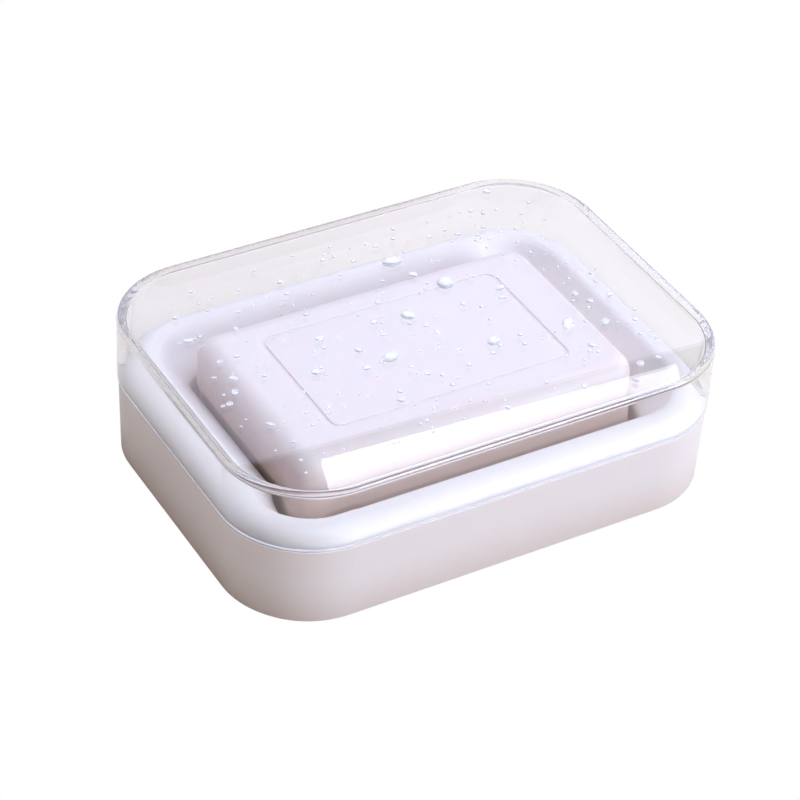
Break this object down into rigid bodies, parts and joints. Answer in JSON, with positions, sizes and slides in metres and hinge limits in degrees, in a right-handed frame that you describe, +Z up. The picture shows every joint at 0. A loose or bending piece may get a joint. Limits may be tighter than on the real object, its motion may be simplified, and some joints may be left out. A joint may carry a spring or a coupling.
{
  "type": "travel soap box",
  "caption": "Rounded rectangular soap box: white tub, slotted drain tray that lifts out, clear lift-off lid and a bar of soap lying in the tray.",
  "frame": {"origin": "centre of the underside of the base, on the surface it stands on", "axes": "+X along the long side, +Y along the short side, +Z up towards the lid"},
  "size_m": [0.13, 0.0952, 0.0393],
  "materials": {
    "base": "satin moulded polypropylene, white",
    "tray": "satin moulded polypropylene, white",
    "lid": "polished clear styrene plastic",
    "soap": "smooth pressed white soap"
  },
  "bodies": {
    "base": {"base_box": "base"},
    "tray": {"drain_tray": "tray"},
    "soap": {"soap_bar": "soap"},
    "lid": {"lid": "lid"}
  },
  "joints": [
    {"name": "tray_lift", "type": "slide", "parent": "base", "child": "tray", "axis": [0, 0, 1], "range_m": [0, 0.04]},
    {"name": "soap_lift", "type": "slide", "parent": "tray", "child": "soap", "axis": [0, 0, 1], "range_m": [0, 0.04]},
    {"name": "lid_lift", "type": "slide", "parent": "soap", "child": "lid", "axis": [0, 0, 1], "range_m": [0, 0.05]}
  ]
}
